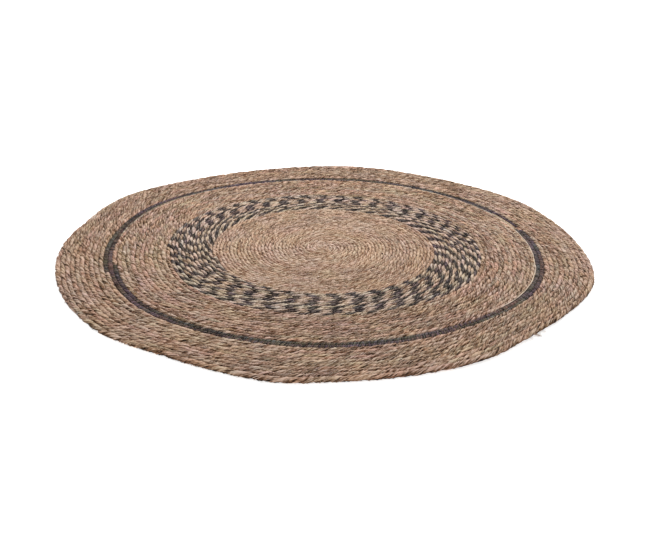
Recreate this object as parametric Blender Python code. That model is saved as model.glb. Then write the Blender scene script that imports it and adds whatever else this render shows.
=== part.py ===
"""Round braided rug of natural plant fibre, one metre across, lying on the floor.

One long braid is wound outward from a small hub and sewn to itself turn by turn. The maker changes
braid four times, so the rug is five coils sewn edge to edge: a natural centre, a two-tone coil,
a natural field, one dark turn and a natural border. Each coil is one solid with a rib for each turn.

Metres, +Z up. The origin is the middle of the hub, on the floor. A place along the braid is
counted in turns from the hub: at turn 15 the centre coil ends and the two-tone coil starts.
"""
import math

import bmesh
import bpy

# Driving dimensions
RUG_RADIUS = 0.500
HUB_RADIUS = 0.0075
BRAID_THICKNESS = 0.0100
SEAM_HEIGHT = 0.0068            # height of the stitched groove between two turns
SEAM_GAP = 0.0004               # room left between two coils
START_BEARING = 195.0           # degrees; the braid starts, and each coil changes, on this bearing
STEP_OUT = 30.0                 # degrees in which a turn climbs outside the turn before it
CELLS_PER_TURN = 48
DARK_LAP_CELLS = 1              # the dark turn starts early, so that its ends lie side by side
TAPER_CELLS = 3                 # past its last whole turn the braid dies away along the rim

# Each coil: name, whole turns, radius inside its first turn once that has stepped out, colour
COILS = (
    ("centre_coil", 15, 0.0195, (0.42, 0.29, 0.20)),
    ("two_tone_coil", 5, 0.2115, (0.16, 0.12, 0.10)),
    ("field_coil", 6, 0.2990, (0.38, 0.26, 0.18)),
    ("dark_ring", 1, 0.3975, (0.035, 0.035, 0.042)),
    ("border_coil", 5, 0.4155, (0.36, 0.24, 0.17)),
)
FIBRE_ROUGHNESS = 0.85

# How far the hand-wound turns stray outward from a circle, in mm, at even steps of bearing
RING_STRAY = (-2, -2, 1, 0, 0, 8, -1, 2, 1, 0, -5, 3)
RIM_STRAY = (-4, -6, -6, -8, -8, -6, -8, -12, -13, -6, 1, -7, 1, 0, 4, 7, 4, 12, 12, 9, 7, -5, -3, 5)
RING_RADIUS = 0.405             # the dark ring, where RING_STRAY is read
CALM_RADIUS = 0.150             # the turns are round inside this

# Where the rim doesn't quite lie down: bearing in degrees, rise in mm, half width in degrees
LIFTS = ((31, 3, 20), (82, 3, 24), (147, 3, 22), (190, 2, 20), (313, 5, 32))
FLAT_RADIUS = 0.330             # the rug lies flat on the floor inside this


def smooth(t):
    """Ease from 0 to 1."""
    t = min(max(t, 0.0), 1.0)
    return t * t * (3.0 - 2.0 * t)


def around(table, bearing):
    """Read a closed table of evenly spaced values along a smooth curve through them."""
    step = (bearing % 360.0) / 360.0 * len(table)
    first = int(step)
    t = step - first
    before, here, there, after = (table[(first + k) % len(table)] for k in (-1, 0, 1, 2))
    bend = 2 * before - 5 * here + 4 * there - after + t * (3 * (here - there) + after - before)
    return here + 0.5 * t * (there - before + t * bend)


def turn_radii():
    """Radius inside each turn once it has stepped out; the last one is the rim."""
    radii = [HUB_RADIUS]
    rims = [coil[2] for coil in COILS[1:]] + [RUG_RADIUS]
    for (_, turns, inside, _), outside in zip(COILS, rims):
        radii += [inside + (outside - inside) * k / turns for k in range(turns)]
    return radii + [RUG_RADIUS]


TURN_RADII = turn_radii()


def even_radius(turn):
    """Radius of the braid's inner edge at a place along it, before any hand-made unevenness."""
    whole = min(int(turn), len(TURN_RADII) - 2)
    climb = smooth((turn - whole) * 360.0 / STEP_OUT)
    return TURN_RADII[whole] + (TURN_RADII[whole + 1] - TURN_RADII[whole]) * climb


def stray(radius, bearing):
    """How far the braid strays outward at a place, in metres."""
    ring = around(RING_STRAY, bearing) / 1000.0
    rim = around(RIM_STRAY, bearing) / 1000.0
    if radius < RING_RADIUS:
        return ring * smooth((radius - CALM_RADIUS) / (RING_RADIUS - CALM_RADIUS))
    return ring + (rim - ring) * (radius - RING_RADIUS) / (RUG_RADIUS - RING_RADIUS)


def underside(x, y):
    """Height of the rug's underside over the floor."""
    bearing = math.degrees(math.atan2(y, x))
    rise = 0.0
    for centre, height, half_width in LIFTS:
        turned = abs((bearing - centre + 180.0) % 360.0 - 180.0)
        rise += height / 1000.0 * smooth(1.0 - turned / half_width)
    return rise * smooth((math.hypot(x, y) - FLAT_RADIUS) / (RUG_RADIUS - FLAT_RADIUS))


def braid_point(turn, across):
    """A point on the top of the rug; across is 0 on the braid's inner seam and 1 on its outer one."""
    inner = even_radius(turn)
    outer = even_radius(turn + 1.0)
    bearing = START_BEARING + 360.0 * turn
    radius = inner + (outer - inner) * across
    radius += stray(radius, bearing)
    x = radius * math.cos(math.radians(bearing))
    y = radius * math.sin(math.radians(bearing))
    rib = (BRAID_THICKNESS - SEAM_HEIGHT) * (1.0 - abs(2.0 * across - 1.0))
    return x, y, underside(x, y) + SEAM_HEIGHT + rib


def close_hub(bm):
    """Fill the hole inside the first turn with a low dome."""
    reach = TURN_RADII[1] + 0.001
    hole = [edge for edge in bm.edges
            if edge.is_boundary and all(vert.co.xy.length < reach for vert in edge.verts)]
    hub = bmesh.ops.contextual_create(bm, geom=hole)["faces"]
    top = bmesh.ops.poke(bm, faces=hub)["verts"][0]
    top.co = (0.0, 0.0, BRAID_THICKNESS)


def open_seams(bm):
    """Draw the coil's edges in by half the gap that it keeps to its neighbours."""
    moves = {}
    for vert in bm.verts:
        normals = []
        for edge in vert.link_edges:
            if edge.is_boundary:
                line = edge.verts[1].co.xy - edge.verts[0].co.xy
                normal = line.orthogonal().normalized()
                inward = edge.link_faces[0].calc_center_median().xy - edge.verts[0].co.xy
                normals.append(normal if normal.dot(inward) > 0.0 else -normal)
        if normals:
            first, second = normals
            moves[vert] = (first + second) * SEAM_GAP / 2.0 / (1.0 + first.dot(second))
    for vert, move in moves.items():
        vert.co.xy += move


def thicken(bm, rib):
    """Give the coil its sides and an underside, which has no ribs."""
    copy = bmesh.ops.extrude_face_region(bm, geom=bm.faces[:])["geom"]
    below = {item for item in copy if isinstance(item, bmesh.types.BMVert)}
    for vert in below:
        vert.co.z = underside(vert.co.x, vert.co.y)
    ridges = [edge for edge in bm.edges
              if all(vert in below and vert[rib] for vert in edge.verts)]
    bmesh.ops.dissolve_edges(bm, edges=ridges, use_verts=True)
    bmesh.ops.recalc_face_normals(bm, faces=bm.faces[:])


def coil_joints():
    """The cell on which each coil starts, counted along the braid, and the cell where it all ends."""
    joints = [0]
    for _, turns, _, _ in COILS:
        joints.append(joints[-1] + turns * CELLS_PER_TURN)
    dark = [coil[0] for coil in COILS].index("dark_ring")
    joints[dark] -= DARK_LAP_CELLS
    joints[-1] += TAPER_CELLS
    return joints


def build_coil(name, start, end):
    """A strip of grid laid along the braid, welded turn to turn and thickened down to the floor."""
    cells = end - start
    bm = bmesh.new()
    rib = bm.verts.layers.int.new("rib")
    bmesh.ops.create_grid(bm, x_segments=cells, y_segments=2, size=1.0)
    for vert in bm.verts:
        cell = round((vert.co.x + 1.0) / 2.0 * cells)
        across = round(vert.co.y + 1.0) / 2.0
        vert[rib] = across == 0.5
        vert.co = braid_point((start + cell) / CELLS_PER_TURN, across)
    bmesh.ops.remove_doubles(bm, verts=bm.verts[:], dist=0.00002)
    if start == 0:
        close_hub(bm)
    open_seams(bm)
    thicken(bm, rib)
    mesh = bpy.data.meshes.new(name)
    bm.to_mesh(mesh)
    bm.free()
    return bpy.data.objects.new(name, mesh)


def fibre_material(name, colour):
    material = bpy.data.materials.new(name)
    material.use_nodes = True
    shader = material.node_tree.nodes["Principled BSDF"]
    shader.inputs["Base Color"].default_value = (*colour, 1.0)
    shader.inputs["Roughness"].default_value = FIBRE_ROUGHNESS
    shader.inputs["Metallic"].default_value = 0.0
    return material


def main():
    for old in list(bpy.data.objects):
        bpy.data.objects.remove(old, do_unlink=True)
    rug = bpy.data.collections.new("natural_fibre_rug")
    bpy.context.scene.collection.children.link(rug)
    joints = coil_joints()
    for (name, _, _, colour), start, end in zip(COILS, joints, joints[1:]):
        coil = build_coil(name, start, end)
        coil.data.materials.append(fibre_material(name + "_fibre", colour))
        rug.objects.link(coil)


main()
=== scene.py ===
"""Looks of the round natural fibre rug: its coiled rope, the fibre, and the studio around it.

The rug is one long twisted rope wound outward from its centre and stitched flat. A place along it
is counted in turns from the centre. The colours change where the CAD model's coils do.
Metres, +Z up, the centre at the origin.
"""
import math

import bpy
import numpy as np
from mathutils import Matrix, Vector


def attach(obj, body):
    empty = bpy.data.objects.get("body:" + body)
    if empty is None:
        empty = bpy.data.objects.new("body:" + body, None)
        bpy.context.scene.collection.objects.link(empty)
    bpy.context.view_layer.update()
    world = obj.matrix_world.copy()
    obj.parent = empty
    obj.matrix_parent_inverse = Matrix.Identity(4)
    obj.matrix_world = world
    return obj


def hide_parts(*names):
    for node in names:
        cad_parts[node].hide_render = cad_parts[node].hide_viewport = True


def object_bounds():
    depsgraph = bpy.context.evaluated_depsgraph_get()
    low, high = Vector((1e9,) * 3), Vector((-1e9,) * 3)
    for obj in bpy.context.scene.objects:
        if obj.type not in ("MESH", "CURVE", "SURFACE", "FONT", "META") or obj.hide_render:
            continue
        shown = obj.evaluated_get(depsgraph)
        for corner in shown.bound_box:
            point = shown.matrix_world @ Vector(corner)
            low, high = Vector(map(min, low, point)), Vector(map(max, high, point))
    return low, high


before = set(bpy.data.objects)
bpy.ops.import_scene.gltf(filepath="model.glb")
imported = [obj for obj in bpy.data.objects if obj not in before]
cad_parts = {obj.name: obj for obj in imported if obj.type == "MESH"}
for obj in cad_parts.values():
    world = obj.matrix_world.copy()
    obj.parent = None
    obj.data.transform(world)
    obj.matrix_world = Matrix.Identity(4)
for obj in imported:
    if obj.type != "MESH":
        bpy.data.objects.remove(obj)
CAD_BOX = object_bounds()

# The spiral: whole turns of rope before each colour, and the radius inside its first turn
RUG_RADIUS = 0.500
TWO_TONE_FROM, FIELD_FROM, RING_FROM, BORDER_FROM, TURNS = 32, 44, 56, 58, 68
COIL_STARTS = (
    (0, 0.0006),
    (TWO_TONE_FROM, 0.2115),
    (FIELD_FROM, 0.2990),
    (RING_FROM, 0.3980),
    (BORDER_FROM, 0.4145),
    (TURNS, RUG_RADIUS),
)
START_BEARING = 195.0           # degrees; each colour starts near this bearing
STEP_OUT = 30.0                 # degrees in which a turn climbs outside the turn before it
SPIRAL_TURNS = 10               # the first turns climb more slowly, from a whole circle down

# The rug's unevenness, measured and rounded: millimetres outward at even bearings from 0,
# at the dark ring and at the rim
RING_STRAY = (0, -1, 2, -2, 2, 6, -1, 1, -1, -3, -4, 5)
RIM_STRAY = (
    -1, -5, -4, -5, -5, -3, -5, -10, -12, -6, 1, -6,
    -3, 0, 5, 11, 4, 12, 12, 11, 10, -5, -2, 7,
)
RIM_CORNER = (263.0, 8.0, 0.010)    # a bulge in the near rim: bearing, spread, metres outward
RING_RADIUS = 0.405             # where RING_STRAY holds in full
CALM_RADIUS = 0.150             # nothing strays inside this

# Where the rim rises from the floor, estimated: bearing, millimetres, degrees to each side
LIFTS = ((31, 3, 20), (82, 3, 24), (147, 3, 22), (190, 2, 20), (313, 5, 32))
FLAT_RADIUS = 0.330             # the rug lies flat inside this

# The rope: plies laid round each other
PLY_OUT = 0.31                  # a ply's middle from the rope's, in half widths of the rope
PLY_DEEP = 0.69                 # its half thickness, outward
PLY_WIDE = 0.87                 # its half width, round the rope
PLY_ANGLES = (0, 36, 73, 115, 180, 245, 287, 324)
RINGS_PER_LAY = 8
TIGHT_TURNS = 3.0               # the first turns, with more rings
RINGS_PER_TIGHT_TURN = 24
STEPS_PER_TURN = 720            # for measuring the rope's length
CROWDING = 1.28                 # a row's width over its lane's: how far the rows press together
LEAST_HALF_WIDTH = 0.0012
HALF_HEIGHT = 0.0048
MID_HEIGHT = 0.0050             # the rope's middle over the rug's underside
TOP_RISE = 0.0036               # from there up to where loose strips lie
FLATTENED = (-1.0, 1.02)        # the rope's lowest and highest place, in half heights
PLY_PLUMP = 0.96                # mean thickness of a ply, which keeps it a little inside the rope
END_WIDTH = 0.25                # how far a tapered end narrows
BUNDLES = 3                     # fibre bundles that stand out of a ply
BUNDLE_RIPPLE = 0.10
COUNTER_TWIST = 0.25            # the fibres turn back against the plies, to run along the row
FIBRE_RADIUS = 0.003            # of the fibre pattern round a ply
GROOVE_SHADE = 0.6              # painted shade: how much darker the colour is made in the grooves between rows
TWIST_SHADE = 0.3               # painted shade where one ply dips under another
UNDERSIDE_SHADE = 3.2           # painted shade low on the rope's sides

# What varies at random along the rope: by how much, and over how many metres
LAY_VARIES = (0.3, 0.45)        # in lays
DRIFT_VARIES = (0.07, 0.030)    # across the lane
WIDTH_VARIES = (0.05, 0.050)
TWIST_VARIES = (0.10, 0.030)    # of one ply, in lays
PLUMP_VARIES = (0.10, 0.012)
ROW_TONE_VARIES = (0.6, 0.090)  # of all plies together
ROW_HUE_VARIES = (0.7, 0.17)
ROW_WARMTH_VARIES = (0.6, 0.13)
FINE_TONE_VARIES = (0.2, 0.012)     # of one ply
TONE_VARIES = (0.4, 0.026)
HUE_VARIES = (0.8, 0.026)
WARMTH_VARIES = (0.8, 0.022)

# Loose strips and hairs
DYED_BANDS = ((0.208, 0.302), (0.392, 0.420))       # radii without loose natural strips
RIM_TUFTS = ((314.0, 0.020), (30.0, 0.012), (118.0, 0.012))     # bearing, length
TUFT_HAIRS = 14
RIBBON_FLATNESS = 0.35          # a strip's thickness over its width

# Where the colours change, in turns: some degrees before or after a whole turn
TWO_TONE_ENDS = FIELD_FROM - 13.0 / 360.0
DARK_STARTS = RING_FROM - 2.5 / 360.0
DARK_ENDS = BORDER_FROM + 3.5 / 360.0
RIM_ENDS = TURNS + 22.0 / 360.0
UNDYED = ((56.503, 56.540), (57.501, 57.506))       # turns of the dark ring left plain
EDGE_HIGHLIGHT_TURNS = ((56.34, 56.66), (56.80, 56.94))     # turns where pale strips along the ring's inner edge stand in for the lit edge of the row beside it: a painted highlight

# Length of one lay: how far the rope runs while its plies go once round
CENTRE_LAY = 0.0340
TWO_TONE_LAY = 0.0385
FIELD_LAY = 0.0415
RING_LAY = 0.0100
BORDER_LAY = 0.0427
RIM_LAY = 0.0500                # in the border's last turn
RIM_LAY_FROM = 1.15             # turns before the border's end where it begins
RIM_LAY_EASE = 0.1              # turns in which it takes over

# Two-tone rope: where the dark ply comes up on one bearing, row by row from the inside, in lays,
# measured and rounded
MARK_BEARING = 272.0
DARK_MARKS = (0.1, 0.3, 0.5, 0.6, 0.3, 0.4, 0.2, 0.5, 0.3, 0.4, 0.4, 0.9)


def smooth(t):
    """Ease from 0 to 1."""
    t = np.clip(t, 0.0, 1.0)
    return t * t * (3.0 - 2.0 * t)


def around(table, bearing):
    """Read a closed table of evenly spaced values along a smooth curve through them."""
    values = np.array(table, dtype=float)
    place = (bearing % 360.0) / 360.0 * len(values)
    first = np.floor(place).astype(int)
    t = place - first
    before, here, there, after = (values[(first + k) % len(values)] for k in (-1, 0, 1, 2))
    bend = 2 * before - 5 * here + 4 * there - after + t * (3 * (here - there) + after - before)
    return here + 0.5 * t * (there - before + t * bend)


def turn_radii():
    """Radius inside each turn once it has stepped out; the last one is the rim."""
    radii = [0.0]
    for (turn, inside), (next_turn, outside) in zip(COIL_STARTS, COIL_STARTS[1:]):
        turns = next_turn - turn
        radii += [inside + (outside - inside) * k / turns for k in range(turns)]
    return np.array(radii + [RUG_RADIUS])


TURN_RADII = turn_radii()


def even_radius(turn):
    """Radius of the rope's inner edge at a place along it, before any hand-made unevenness."""
    whole = np.clip(np.floor(turn).astype(int), 0, len(TURN_RADII) - 2)
    step = STEP_OUT + (360.0 - STEP_OUT) * np.maximum(1.0 - whole / SPIRAL_TURNS, 0.0)
    climb = smooth((turn - whole) * 360.0 / step)
    return TURN_RADII[whole] + (TURN_RADII[whole + 1] - TURN_RADII[whole]) * climb


def stray(radius, bearing):
    """How far the rope strays outward at a place, in metres."""
    ring = around(RING_STRAY, bearing) / 1000.0
    rim = around(RIM_STRAY, bearing) / 1000.0
    from_corner = ((bearing - RIM_CORNER[0] + 180.0) % 360.0 - 180.0) / RIM_CORNER[1]
    rim += RIM_CORNER[2] * np.exp(-from_corner**2)
    inside = ring * smooth((radius - CALM_RADIUS) / (RING_RADIUS - CALM_RADIUS))
    outside = ring + (rim - ring) * (radius - RING_RADIUS) / (RUG_RADIUS - RING_RADIUS)
    return np.where(radius < RING_RADIUS, inside, outside)


def underside(x, y):
    """Height of the rug's underside over the floor."""
    bearing = np.degrees(np.arctan2(y, x))
    rise = np.zeros_like(bearing)
    for centre, height, half_width in LIFTS:
        turned = np.abs((bearing - centre + 180.0) % 360.0 - 180.0)
        rise += height / 1000.0 * smooth(1.0 - turned / half_width)
    return rise * smooth((np.hypot(x, y) - FLAT_RADIUS) / (RUG_RADIUS - FLAT_RADIUS))


def rope_place(turn, across):
    """Plan position on the rope; across is 0 on its inner edge and 1 on its outer one."""
    inner = even_radius(turn)
    outer = even_radius(turn + 1.0)
    bearing = START_BEARING + 360.0 * turn
    radius = inner + (outer - inner) * across
    radius = radius + stray(radius, bearing)
    angle = np.radians(bearing)
    return np.stack([radius * np.cos(angle), radius * np.sin(angle)], axis=-1)


def wander(rng, distance, varies):
    """Smooth random values along a distance; varies is their strength and grain in metres."""
    strength, grain = varies
    knots = rng.uniform(-1.0, 1.0, int(distance[-1] / grain) + 4)
    place = distance / grain
    first = np.floor(place).astype(int)
    values = knots[first] + (knots[first + 1] - knots[first]) * smooth(place - first)
    return strength * values


# ---------------------------------------------------------------- walking along the rope

def walked(turns):
    """Distance along the middle of the rope to each of the turns."""
    steps = np.hypot(*np.diff(rope_place(turns, 0.5), axis=0).T)
    return np.concatenate([[0.0], np.cumsum(steps)])


def finely(first, last):
    """Turns at fine steps from first to last, and the distance walked to each."""
    turns = np.linspace(first, last, int((last - first) * STEPS_PER_TURN) + 2)
    return turns, walked(turns)


def even_lays(lay, last_turn_lay=None):
    """Count lays of one length along a stretch of rope, or longer ones in its last turn."""
    def counted(first, last):
        turns, distance = finely(first, last)
        share = smooth((turns - last + RIM_LAY_FROM) / RIM_LAY_EASE)
        lays = lay + ((last_turn_lay or lay) - lay) * share
        counts = np.concatenate([[0.0], np.cumsum(np.diff(distance) / lays[1:])])
        out_of_step = wander(np.random.default_rng(9), distance, LAY_VARIES)
        return turns, counts + out_of_step - out_of_step[0]
    return counted


def marked_lays(first, last):
    """Count lays so that the dark ply comes up at its mark in every turn."""
    turns, distance = finely(first, last)
    in_line = (MARK_BEARING - START_BEARING) / 360.0
    marks = math.floor(first + 0.5) + np.arange(-1, len(DARK_MARKS) + 1) + in_line
    phases = np.array((DARK_MARKS[0],) + DARK_MARKS + (DARK_MARKS[-1],))
    reach = np.interp(marks, turns, distance)
    reach[0] -= (turns[0] - marks[0]) * 2.0 * math.pi * even_radius(turns[0])
    reach[-1] += (marks[-1] - turns[-1]) * 2.0 * math.pi * even_radius(turns[-1])
    shift = phases[:-1] - phases[1:]
    lays = np.round(np.diff(reach) / TWO_TONE_LAY - shift) + shift
    counts = np.concatenate([[-phases[0]], -phases[0] + np.cumsum(lays)])
    return turns, np.interp(distance, reach, counts)


# ---------------------------------------------------------------- rope

def unit(vectors):
    """Vectors of length 1 in the same directions."""
    return vectors / np.linalg.norm(vectors, axis=-1, keepdims=True)


def rope_frame(turns, distance, crowding, rng):
    """The rope's middle line, its half width, and the directions across and up."""
    inside = rope_place(turns, 0.0)
    outside = rope_place(turns, 1.0)
    lane = np.hypot(*(outside - inside).T)
    half_width = np.maximum(lane / 2.0 * crowding, LEAST_HALF_WIDTH)
    drift = wander(rng, distance, DRIFT_VARIES)
    plan = inside + (outside - inside) * (0.5 + drift)[:, None]
    height = MID_HEIGHT + underside(plan[:, 0], plan[:, 1])
    centres = np.column_stack([plan, height])
    forward = unit(np.gradient(centres, axis=0))
    across = unit(np.cross(forward, [0.0, 0.0, 1.0]))
    return centres, half_width, across, np.cross(across, forward)


def ply_section(turned_to, plump):
    """Points round one ply in the rope's section, across and up, in half widths of the rope."""
    angle = np.radians(PLY_ANGLES)[None, :]
    twisted = angle + COUNTER_TWIST * turned_to[:, None]
    ripple = 1.0 + BUNDLE_RIPPLE * np.cos(BUNDLES * twisted)
    out = PLY_OUT + PLY_DEEP * plump[:, None] * ripple * np.cos(angle)
    along = PLY_WIDE * plump[:, None] * ripple * np.sin(angle)
    cos, sin = np.cos(turned_to)[:, None], np.sin(turned_to)[:, None]
    return out * cos - along * sin, out * sin + along * cos, twisted


def tube_faces(count, start, sides):
    """Quads round a tube of count rings, and its two end faces."""
    ring = np.arange(count - 1)[:, None] * sides
    here = np.arange(sides)[None, :]
    after = (here + 1) % sides
    near, far = ring + here, ring + after
    quads = np.stack([near, near + sides, far + sides, far], axis=-1)
    first_cap = np.arange(sides)
    last_cap = np.arange(sides)[::-1] + (count - 1) * sides
    return quads.reshape(-1, 4) + start, first_cap + start, last_cap + start


def make_mesh(name, points, quads, caps):
    """A smooth-shaded mesh object."""
    mesh = bpy.data.meshes.new(name)
    mesh.from_pydata(points.tolist(), [], quads.tolist() + [list(map(int, cap)) for cap in caps])
    mesh.shade_smooth()
    mesh.update()
    piece = bpy.data.objects.new(name, mesh)
    bpy.context.scene.collection.objects.link(piece)
    return piece


def store(mesh, name, kind, domain, values):
    """Keep values on the mesh for its material to read."""
    attribute = mesh.attributes.new(name, kind, domain)
    field = "vector" if kind == "FLOAT_VECTOR" else "value"
    attribute.data.foreach_set(field, np.ascontiguousarray(values, dtype=np.float32).ravel())


def end_taper(distance, tapers):
    """Narrowing of the rope towards its ends, from 1 down to END_WIDTH."""
    share = np.ones_like(distance)
    for from_end, taper in zip((distance, distance[-1] - distance), tapers):
        if taper:
            full = smooth((from_end + 0.0015) / taper)
            share = share * (END_WIDTH + (1.0 - END_WIDTH) * full)
    return share


def spaced_rings(first, last, lays_of, rings):
    """Lays and turns at each ring of points, with more rings in the tight first turns."""
    fine_turns, fine_lays = lays_of(first, last)
    lays = np.arange(fine_lays[0], fine_lays[-1], 1.0 / rings)
    tight_turns = np.arange(first, min(last, TIGHT_TURNS), 1.0 / RINGS_PER_TIGHT_TURN)
    lays = np.unique(np.concatenate([lays, np.interp(tight_turns, fine_turns, fine_lays)]))
    return lays, np.interp(lays, fine_lays, fine_turns)


def section_points(x, y, centres, across, up, half_width, half_height):
    """Points in space for places in the rope's section, ring by ring."""
    sideways = across[:, None, :] * (x * half_width[:, None])[..., None]
    upward = up[:, None, :] * (np.clip(y, *FLATTENED) * half_height[:, None])[..., None]
    return (centres[:, None, :] + sideways + upward).reshape(-1, 3)


def section_shade(x, y, groove_shade):
    """How much painted shade darkens the colour at a place in the rope's section, in its half
    sizes.
    """
    # Painted shade: in the grooves between rows, where one ply dips under another, and low on the
    # sides
    sunk_in = smooth((0.95 - np.hypot(x, y)) / 0.22)
    grooves = groove_shade * smooth((np.abs(x) - 0.60) / 0.38) + TWIST_SHADE * sunk_in
    low = np.clip(y, *FLATTENED)
    below = UNDERSIDE_SHADE * smooth((0.5 - low) / 0.7) * smooth((low + 1.0) / 0.15)
    return np.maximum(grooves, below)


def fibre_lines(distance, twisted, rng):
    """Places in the fibre pattern for each point of a ply, on a stretch of it of its own."""
    along = np.repeat((distance + rng.uniform(0.0, 50.0))[:, None], twisted.shape[1], axis=1)
    round_ply = FIBRE_RADIUS * np.cos(twisted), FIBRE_RADIUS * np.sin(twisted)
    return np.stack([along, *round_ply], axis=-1).reshape(-1, 3)


def side_dye(turns, dye, undyed, sides):
    """Share of dye on each side face of a ply."""
    plain = np.zeros(len(turns), dtype=bool)
    for plain_from, plain_to in undyed:
        plain |= (turns > plain_from) & (turns < plain_to)
    return np.repeat(np.where(plain, 0.0, dye)[:-1], sides)


def store_leaf(mesh, fibre, tone, hue, warmth):
    """Keep each point's place in the fibre pattern and its drift in colour, with any painted shade
    in its tone.
    """
    store(mesh, "fibre", "FLOAT_VECTOR", "POINT", fibre)
    store(mesh, "tone", "FLOAT", "POINT", tone)
    store(mesh, "hue", "FLOAT", "POINT", hue)
    store(mesh, "warmth", "FLOAT", "POINT", warmth)


def build_rope(name, first, last, lays_of, seed, plies=2, rings=RINGS_PER_LAY,
               crowding=CROWDING, groove_shade=GROOVE_SHADE, colourful=0.8, sunk=0.0,
               tapers=(0.0, 0.0), dyed=(0.0, 0.0, 0.0), undyed=()):
    """One colour of the rope, as its plies laid round each other and closed at their ends."""
    rng = np.random.default_rng(seed)
    lays, turns = spaced_rings(first, last, lays_of, rings)
    distance = walked(turns)
    centres, half_width, across, up = rope_frame(turns, distance, crowding, rng)
    ends = end_taper(distance, tapers)
    half_width = half_width * ends * (1.0 + wander(rng, distance, WIDTH_VARIES))
    half_height = (HALF_HEIGHT - sunk) * ends
    centres[:, 2] -= sunk
    row_tone = wander(rng, distance, ROW_TONE_VARIES)
    row_hue = wander(rng, distance, ROW_HUE_VARIES)
    row_warmth = wander(rng, distance, ROW_WARMTH_VARIES)
    sides = len(PLY_ANGLES)
    points, quads, caps = [], [], []
    fibre, tone, hue, warmth, dark = [], [], [], [], []
    for ply in range(plies):
        uneven = wander(rng, distance, TWIST_VARIES)
        turned_to = 2.0 * math.pi * (lays + ply / plies + 0.25 + uneven)
        plump = PLY_PLUMP + wander(rng, distance, PLUMP_VARIES)
        x, y, twisted = ply_section(turned_to, plump)
        points.append(section_points(x, y, centres, across, up, half_width, half_height))
        tube, first_cap, last_cap = tube_faces(len(turns), ply * len(turns) * sides, sides)
        quads.append(tube)
        caps += [first_cap, last_cap]
        fibre.append(fibre_lines(distance, twisted, rng))
        fine_tones = wander(rng, distance, FINE_TONE_VARIES)
        tones = fine_tones + wander(rng, distance, TONE_VARIES) + row_tone
        # The tone carries painted shade: darker in the grooves, where plies dip in, and low on the
        # sides
        tone.append((tones[:, None] - section_shade(x, y, groove_shade)).ravel())
        hues = wander(rng, distance, HUE_VARIES) + row_hue
        hue.append(np.repeat(colourful * hues, sides))
        warmths = wander(rng, distance, WARMTH_VARIES) + row_warmth
        warmth.append(np.repeat(colourful * warmths, sides))
        dark.append(side_dye(turns, dyed[ply], undyed, sides))
    dark.append(np.repeat(dyed[:plies], 2))         # the end faces come last
    piece = make_mesh(name, np.concatenate(points), np.concatenate(quads), caps)
    store_leaf(piece.data, *map(np.concatenate, (fibre, tone, hue, warmth)))
    store(piece.data, "dark", "FLOAT", "FACE", np.concatenate(dark))
    return piece


# ---------------------------------------------------------------- loose fibres

def ribbon_rings(path, half_width, half_thickness):
    """Flat four-sided cross-sections along many paths at once; path is fibres x points x 3."""
    forward = unit(np.gradient(path, axis=1))
    side = unit(np.cross(forward, [0.0, 0.0, 1.0]))
    up = np.cross(side, forward)
    corners_wide = np.array([1.0, 0.0, -1.0, 0.0])[:, None]
    corners_tall = np.array([0.0, 1.0, 0.0, -1.0])[:, None]
    wide = (side * half_width[..., None])[:, :, None, :] * corners_wide
    tall = (up * half_thickness[..., None])[:, :, None, :] * corners_tall
    return path[:, :, None, :] + wide + tall


def surface_fibres(rng, count):
    """Ends of leaf strips that work loose on top and lie along the rows."""
    radius = np.sqrt(rng.uniform(0.12 ** 2, 0.492 ** 2, count))
    for inner, outer in DYED_BANDS:
        radius = radius[(radius <= inner) | (radius >= outer)]
    count = len(radius)
    turn = np.interp(radius, TURN_RADII[1:], np.arange(len(TURN_RADII) - 1)).astype(int)
    turn = turn + rng.uniform(0.15, 0.95, count)
    length = rng.uniform(0.010, 0.030, count)
    across = rng.uniform(0.15, 0.85, count)
    lean = rng.uniform(-0.9, 0.1, count)
    lift = rng.uniform(0.0, 0.0016, count) + 0.0025 * rng.uniform(0.0, 1.0, count) ** 6
    s = np.linspace(0.0, 1.0, 4)[None, :]
    around_row = turn[:, None] + length[:, None] * s / (2.0 * math.pi * radius[:, None])
    plan = rope_place(around_row, across[:, None] + lean[:, None] * (s - 0.5))
    rise = TOP_RISE + 0.0006 * np.sin(math.pi * s) + lift[:, None] * s ** 2
    height = MID_HEIGHT + rise + underside(plan[..., 0], plan[..., 1])
    half = rng.uniform(0.00035, 0.0009, count)[:, None] * (1.0 - 0.55 * s ** 3)
    return np.concatenate([plan, height[..., None]], axis=-1), half


def edge_highlight_strips(rng):
    """Pale strips along the inner edge of the dark ring, a painted highlight for the lit edge of
    the row beside it.
    """
    strips, steps = 18, 5           # short strips end to end, and points along each
    turn = np.stack([np.linspace(first, last, strips * steps) for first, last in EDGE_HIGHLIGHT_TURNS])
    across = -0.05 + 0.10 * rng.uniform(-1.0, 1.0, (len(turn), strips)).repeat(steps, axis=1)
    plan = rope_place(turn, across)
    height = MID_HEIGHT + TOP_RISE + underside(plan[..., 0], plan[..., 1])
    half = 0.0013 + 0.0003 * rng.uniform(-1.0, 1.0, turn.shape)
    return np.concatenate([plan, height[..., None]], axis=-1), half


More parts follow.
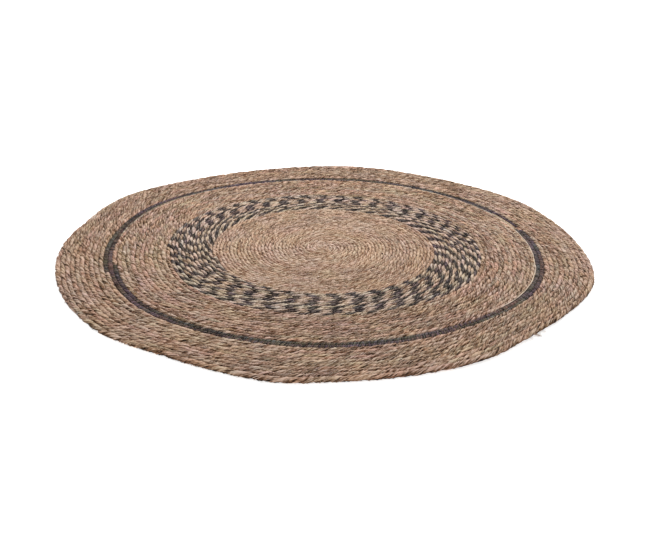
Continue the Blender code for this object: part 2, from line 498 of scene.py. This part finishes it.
def rim_fibres(rng, count):
    """Short hairs round the rim, and three tufts where strips were cut."""
    bearing = rng.uniform(0.0, 360.0, count)
    length = rng.uniform(0.004, 0.011, count)
    height = rng.uniform(0.003, 0.0085, count)
    for tuft, size in RIM_TUFTS:
        bearing = np.concatenate([bearing, tuft + rng.normal(0.0, 0.9, TUFT_HAIRS)])
        length = np.concatenate([length, size * rng.uniform(0.5, 1.0, TUFT_HAIRS)])
        height = np.concatenate([height, rng.uniform(0.003, 0.008, TUFT_HAIRS)])
    many = len(bearing)
    s = np.linspace(0.0, 1.0, 4)[None, :]
    swept = rng.uniform(-0.9, 0.9, many)[:, None]
    edge = RUG_RADIUS - 0.003 + stray(RUG_RADIUS, bearing)
    out = edge[:, None] + length[:, None] * s * (1.0 - 0.3 * np.abs(swept))
    turned = np.radians(bearing)[:, None] + length[:, None] * swept * s ** 1.5 / edge[:, None]
    x, y = out * np.cos(turned), out * np.sin(turned)
    z = height[:, None] + rng.uniform(-0.25, 0.15, many)[:, None] * length[:, None] * s
    z = np.maximum(z, 0.0006) + underside(x, y)
    half = rng.uniform(0.0002, 0.0005, many)[:, None] * (1.0 - 0.6 * s)
    half[count:] *= 2.0             # the tufts are of whole strips
    return np.stack([x, y, z], axis=-1), half


def build_fibres(name, paths, half_width, rng, hue_shift=0.0):
    """Many ribbons as one mesh."""
    many, points = paths.shape[:2]
    rings = ribbon_rings(paths, half_width, half_width * RIBBON_FLATNESS)
    tube, cap_in, cap_out = tube_faces(points, 0, 4)
    starts = np.arange(many)[:, None, None] * points * 4
    quads = (tube[None] + starts).reshape(-1, 4)
    ends = np.stack([cap_in, cap_out])[None] + starts
    piece = make_mesh(name, rings.reshape(-1, 3), np.concatenate([quads, ends.reshape(-1, 4)]), [])
    steps = np.linalg.norm(np.diff(paths, axis=1), axis=-1)
    along = np.concatenate([np.zeros((many, 1)), np.cumsum(steps, axis=1)], axis=1)
    along = np.repeat((along + rng.uniform(0.0, 50.0, (many, 1)))[..., None], 4, axis=2)
    side = np.broadcast_to(np.array([0.001, 0.0, -0.001, 0.0]), along.shape)
    fibre = np.stack([along, side, side * 0.0], axis=-1)
    per_point = np.ones((1, points * 4))
    tone = rng.uniform(-1.0, 1.3, (many, 1))
    hue = rng.uniform(-1.0, 0.8, (many, 1)) + hue_shift
    warmth = rng.uniform(-1.0, 1.0, (many, 1))
    store_leaf(piece.data, fibre, tone * per_point, hue * per_point, warmth * per_point)
    return piece


# ---------------------------------------------------------------- the body under the rope

def build_body():
    """The packed fibre inside the rope, seen only at the bottom of its grooves."""
    spokes, rounds = 180, 14
    low, high = 0.0032, 0.0062      # its two faces over the rug's underside
    hole, rim_gap = 0.004, 0.008    # radius of its middle face, and its gap to the rim
    bearing = np.arange(spokes) * 360.0 / spokes
    angle = np.radians(bearing)
    layers = []
    for height in (low, high):
        for k in range(rounds + 1):
            even = hole + (RUG_RADIUS - rim_gap - hole) * k / rounds
            radius = even + stray(even, bearing)
            x, y = radius * np.cos(angle), radius * np.sin(angle)
            layers.append(np.column_stack([x, y, underside(x, y) + height]))
    points = np.concatenate(layers)
    here = np.arange(spokes)
    after = (here + 1) % spokes
    quads = []
    layer = (rounds + 1) * spokes
    for k in range(rounds):
        a, b = k * spokes, (k + 1) * spokes
        quads.append(np.column_stack([a + here, a + after, b + after, b + here]))
        quads.append(np.column_stack([a + here, b + here, b + after, a + after]) + layer)
    rim = rounds * spokes
    over = rim + layer
    quads.append(np.column_stack([rim + here, rim + after, over + after, over + here]))
    caps = [here, here[::-1] + layer]
    return make_mesh("rug_body", points, np.concatenate(quads), caps)


# ---------------------------------------------------------------- materials

# Linear colours by lightness, from the painted shade of the grooves and low sides to the palest
# streaks:
# the leaf of the outer rows, of the smooth centre, beside the dark ply, and dyed
NATURAL_STOPS = (
    (0.51, (0.014, 0.007, 0.003)),
    (0.60, (0.085, 0.038, 0.017)),
    (0.69, (0.255, 0.143, 0.080)),
    (0.78, (0.430, 0.282, 0.190)),
    (0.89, (0.610, 0.450, 0.342)),
)

CALM_STOPS = (
    (0.58, (0.160, 0.078, 0.040)),
    (0.68, (0.385, 0.240, 0.152)),
    (0.78, (0.510, 0.350, 0.243)),
    (0.90, (0.670, 0.505, 0.385)),
)

PALE_STOPS = (
    (0.60, (0.095, 0.052, 0.028)),
    (0.68, (0.325, 0.218, 0.142)),
    (0.77, (0.505, 0.375, 0.275)),
    (0.88, (0.640, 0.515, 0.415)),
)

DYED_STOPS = (
    (0.62, (0.004, 0.002, 0.001)),
    (0.76, (0.045, 0.033, 0.028)),
    (0.89, (0.210, 0.160, 0.135)),
)


def new_material(name):
    """A node material, its tree and its shader."""
    material = bpy.data.materials.new(name)
    material.use_nodes = True
    tree = material.node_tree
    return material, tree, tree.nodes["Principled BSDF"]


def add_node(tree, kind, settings=(), values=()):
    """A shader node with its settings, and values or links for its inputs."""
    made = tree.nodes.new(kind)
    for key, value in dict(settings).items():
        setattr(made, key, value)
    for key, value in dict(values).items():
        if isinstance(value, bpy.types.NodeSocket):
            tree.links.new(value, made.inputs[key])
        else:
            made.inputs[key].default_value = value
    return made


def attribute(tree, name, output="Fac"):
    """A value kept on the mesh."""
    return add_node(tree, "ShaderNodeAttribute", {"attribute_name": name}).outputs[output]


def maths(tree, operation, a, b):
    """One sum of two values or links."""
    return add_node(tree, "ShaderNodeMath", {"operation": operation}, {0: a, 1: b}).outputs[0]


def noise(tree, vector, scale, detail, roughness=0.55):
    """Noise from 0 to 1 over a pattern's places."""
    values = {"Vector": vector, "Scale": scale, "Detail": detail, "Roughness": roughness}
    return add_node(tree, "ShaderNodeTexNoise", (), values).outputs["Fac"]


def stretched(tree, vector, scale):
    """A pattern's places scaled along each axis."""
    values = {"Vector": vector, "Scale": scale}
    return add_node(tree, "ShaderNodeMapping", {"vector_type": "POINT"}, values).outputs["Vector"]


def ramp(tree, value, stops):
    """A colour ramp through (position, colour) stops."""
    made = add_node(tree, "ShaderNodeValToRGB", (), {"Fac": value})
    elements = made.color_ramp.elements
    while len(elements) < len(stops):
        elements.new(0.5)
    for element, (position, colour) in zip(elements, stops):
        element.position = position
        element.color = (*colour, 1.0)
    return made.outputs["Color"]


def mix(tree, factor, a, b, blend="MIX"):
    """Two colours mixed; each may be a link or a colour."""
    settings = {"data_type": "RGBA", "blend_type": blend}
    made = add_node(tree, "ShaderNodeMix", settings)
    sockets = made.inputs           # 0 is the factor, 6 and 7 are the two colours
    for socket, value in ((sockets[0], factor), (sockets[6], a), (sockets[7], b)):
        if isinstance(value, bpy.types.NodeSocket):
            tree.links.new(value, socket)
        elif isinstance(value, tuple):
            socket.default_value = (*value, 1.0)
        else:
            socket.default_value = value
    return made.outputs[2]


def fibre_streaks(tree):
    """Relief and colour of the dried leaf along a strand: its strips and their fine lines. The
    colour follows the relief, so its folds are darker, partly the leaf's own streaks and partly
    painted shade.
    """
    lines = attribute(tree, "fibre", "Vector")
    fine = noise(tree, stretched(tree, lines, (110.0, 1500.0, 1500.0)), 1.0, 3.0)
    strips = noise(tree, stretched(tree, lines, (55.0, 680.0, 680.0)), 1.0, 1.0)
    fine_part = maths(tree, "MULTIPLY", fine, 0.40)
    return maths(tree, "ADD", fine_part, maths(tree, "MULTIPLY", strips, 1.15))


def tint(tree, colour, name, below, above):
    """Multiply a colour towards one tint where an attribute is below 0, and another above it."""
    value = attribute(tree, name)
    for side, target in ((-1.0, below), (1.0, above)):
        share = maths(tree, "MAXIMUM", maths(tree, "MULTIPLY", value, side), 0.0)
        colour = mix(tree, share, colour, mix(tree, 1.0, colour, target, "MULTIPLY"))
    return colour


def lightness(tree, streaks, tone_share):
    """Streaks and the tone of each stretch together, painted shade included, dark near 0.5 and pale
    near 0.8.
    """
    return maths(tree, "ADD", streaks, maths(tree, "MULTIPLY", attribute(tree, "tone"), tone_share))


def natural_colour(tree, streaks, stops):
    """Straw that drifts between grey-green and pink, and between grey and amber."""
    straw = ramp(tree, lightness(tree, streaks, 0.07), stops)
    patches = noise(tree, add_node(tree, "ShaderNodeTexCoord").outputs["Object"], 15.0, 1.0)
    ages = ramp(tree, patches, ((0.35, (0.99, 0.98, 1.03)), (0.65, (1.02, 1.00, 0.95))))
    straw = mix(tree, 1.0, straw, ages, "MULTIPLY")
    straw = tint(tree, straw, "hue", (0.90, 1.02, 0.99), (1.07, 0.94, 0.96))
    return tint(tree, straw, "warmth", (0.98, 0.99, 1.08), (1.02, 0.99, 0.90))


def dyed_colour(tree, streaks):
    """Charcoal dye that took unevenly, with purple, green and brown in it."""
    charcoal = ramp(tree, lightness(tree, streaks, 0.08), DYED_STOPS)
    charcoal = tint(tree, charcoal, "hue", (0.88, 1.06, 0.98), (1.10, 0.90, 1.04))
    return tint(tree, charcoal, "warmth", (0.94, 0.98, 1.25), (1.08, 0.98, 0.78))


def strand_material(name, brightness=1.0, straw=NATURAL_STOPS, with_dye=False):
    """Dried leaf fibre, plain or dyed, with streaks in its colour and relief; painted shade darkens
    its colour in the folds and grooves.
    """
    material, tree, shader = new_material(name)
    streaks = fibre_streaks(tree)
    stops = tuple((at, tuple(c * brightness for c in colour)) for at, colour in straw)
    colour = natural_colour(tree, streaks, stops)
    if with_dye:
        colour = mix(tree, attribute(tree, "dark"), colour, dyed_colour(tree, streaks))
    tree.links.new(colour, shader.inputs["Base Color"])
    shader.inputs["Roughness"].default_value = 0.72
    shader.inputs["Specular IOR Level"].default_value = 0.12
    relief = {"Strength": 1.0, "Distance": 0.0015, "Height": streaks}
    bump = add_node(tree, "ShaderNodeBump", (), relief)
    tree.links.new(bump.outputs[0], shader.inputs["Normal"])
    return material


def body_material():
    """Packed fibre with a fine grain, coloured dark as painted shade at the bottom of the rope's
    grooves.
    """
    material, tree, shader = new_material("packed_fibre")
    place = add_node(tree, "ShaderNodeTexCoord").outputs["Object"]
    grain = noise(tree, place, 600.0, 4.0)
    # Dark brown: painted shade, since the body shows only deep in the grooves
    colour = ramp(tree, grain, ((0.35, (0.035, 0.022, 0.014)), (0.65, (0.13, 0.085, 0.055))))
    tree.links.new(colour, shader.inputs["Base Color"])
    shader.inputs["Roughness"].default_value = 0.9
    relief = {"Strength": 1.0, "Distance": 0.001, "Height": grain}
    bump = add_node(tree, "ShaderNodeBump", (), relief)
    tree.links.new(bump.outputs[0], shader.inputs["Normal"])
    return material


def floor_material():
    """White floor that glows a little, which keeps the rug's shadow on it faint."""
    material, tree, shader = new_material("studio_floor")
    shader.inputs["Base Color"].default_value = (0.9, 0.9, 0.9, 1.0)
    shader.inputs["Roughness"].default_value = 0.9
    shader.inputs["Specular IOR Level"].default_value = 0.1
    shader.inputs["Emission Color"].default_value = (1.0, 1.0, 1.0, 1.0)
    shader.inputs["Emission Strength"].default_value = 0.68
    return material


# ---------------------------------------------------------------- the studio

def add_camera():
    """The camera at the photograph's angle."""
    data = bpy.data.cameras.new("camera")
    camera = bpy.data.objects.new("camera", data)
    bpy.context.scene.collection.objects.link(camera)
    place = Vector((0.0, -1.9636, 0.8122))
    aim = Vector((0.0038, -0.1139, 0.0))
    roll = Matrix.Rotation(math.radians(0.837), 4, "Z")
    look = (aim - place).to_track_quat("-Z", "Y").to_matrix().to_4x4()
    camera.matrix_world = Matrix.Translation(place) @ look @ roll
    data.sensor_width = 36.0
    data.lens = 61.43
    data.clip_start = 0.05
    data.clip_end = 60.0
    bpy.context.scene.camera = camera


def add_floor():
    """A wide floor a hair below the rug."""
    span = 25.0
    corners = np.array([(-span, -span, 0), (span, -span, 0), (span, span, 0), (-span, span, 0)])
    floor = make_mesh("floor", corners, np.array([[0, 1, 2, 3]]), [])
    floor.location.z = CAD_BOX[0][2] - 0.0003
    floor.data.materials.append(floor_material())


def add_light(name, place, aim, size, power, colour):
    """A round area light that shines at a place."""
    data = bpy.data.lights.new(name, "AREA")
    data.shape = "DISK"
    data.size = size
    data.energy = power
    data.color = colour
    light = bpy.data.objects.new(name, data)
    bpy.context.scene.collection.objects.link(light)
    place = Vector(place)
    look = (Vector(aim) - place).to_track_quat("-Z", "Y").to_matrix().to_4x4()
    light.matrix_world = Matrix.Translation(place) @ look


def add_lights():
    """White surroundings, and one broad soft light, slightly cool, from behind and above."""
    scene = bpy.context.scene
    world = bpy.data.worlds.new("studio")
    world.use_nodes = True
    background = world.node_tree.nodes["Background"]
    background.inputs["Color"].default_value = (1.0, 1.0, 1.0, 1.0)
    background.inputs["Strength"].default_value = 0.92
    scene.world = world
    scene.view_settings.view_transform = "Standard"
    add_light("key", (0.45, 1.4, 1.7), (0.0, 0.0, 0.0), 1.0, 42.0, (0.985, 1.0, 1.025))


# ---------------------------------------------------------------- the rug

def dress(piece, node, material):
    """Give a piece its material, and let it stand for a CAD solid if one is named."""
    piece.data.materials.append(material)
    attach(piece, "root")
    if node:
        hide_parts(node)


def add_centre():
    """The smooth pale rope from the hub outward."""
    rope = build_rope("centre_rope", 0, TWO_TONE_FROM, even_lays(CENTRE_LAY), seed=1,
                      crowding=1.18, groove_shade=1.3, colourful=0.4)
    leaf = strand_material("centre_fibre", straw=CALM_STOPS)
    dress(rope, "centre_coil", leaf)
    return rope


def add_two_tone():
    """One plain ply and one dyed ply, which make the dashes."""
    rope = build_rope("two_tone_rope", TWO_TONE_FROM, TWO_TONE_ENDS, marked_lays, seed=2,
                      crowding=1.20, groove_shade=1.2, colourful=0.6, dyed=(1.0, 0.0))
    leaf = strand_material("two_tone_fibre", straw=PALE_STOPS, with_dye=True)
    dress(rope, "two_tone_coil", leaf)
    return rope


def add_field():
    """Plain rope up to the dark ring."""
    rope = build_rope("field_rope", TWO_TONE_ENDS, RING_FROM, even_lays(FIELD_LAY), seed=3,
                      tapers=(0.0, 0.012))
    dress(rope, "field_coil", strand_material("field_fibre", 0.96))
    return rope


def add_dark_ring():
    """A tighter, flatter rope of three dyed plies, with its ends side by side."""
    rope = build_rope("dark_rope", DARK_STARTS, DARK_ENDS, even_lays(RING_LAY), seed=4, plies=3,
                      rings=6, groove_shade=0.5, colourful=1.8, sunk=0.0006,
                      tapers=(0.02, 0.008), dyed=(1.0, 1.0, 1.0), undyed=UNDYED)
    dress(rope, "dark_ring", strand_material("dyed_fibre", with_dye=True))
    return rope


def add_border():
    """Plain rope out to the rim, where it tapers off."""
    rope = build_rope("border_rope", DARK_ENDS, RIM_ENDS, even_lays(BORDER_LAY, RIM_LAY),
                      seed=35, colourful=0.65, tapers=(0.008, 0.05))
    dress(rope, "border_coil", strand_material("border_fibre", 0.92))
    return rope


def add_loose_strips():
    """Stray ends on top and round the rim, and the pale strips beside the dark ring, which are a
    painted highlight.
    """
    rng = np.random.default_rng(6)
    on_top = build_fibres("loose_fibres", *surface_fibres(rng, 4000), rng)
    dress(on_top, None, strand_material("loose_fibre", 1.02))
    at_rim = build_fibres("rim_fibres", *rim_fibres(rng, 320), rng, hue_shift=-0.2)
    dress(at_rim, None, strand_material("rim_fibre", 0.95))
    # Pale strips painted as the highlight on the lit edge of the row beside the dark ring
    threads = build_fibres("edge_highlight_strips", *edge_highlight_strips(rng), rng)
    dress(threads, None, strand_material("edge_highlight_fibre", straw=PALE_STOPS))


def add_rug():
    """The five colours of rope, the loose strips, and the body that holds the rope."""
    ropes = [add_centre(), add_two_tone(), add_field(), add_dark_ring(), add_border()]
    add_loose_strips()
    body = build_body()
    dress(body, None, body_material())


add_camera()
add_floor()
add_lights()
add_rug()
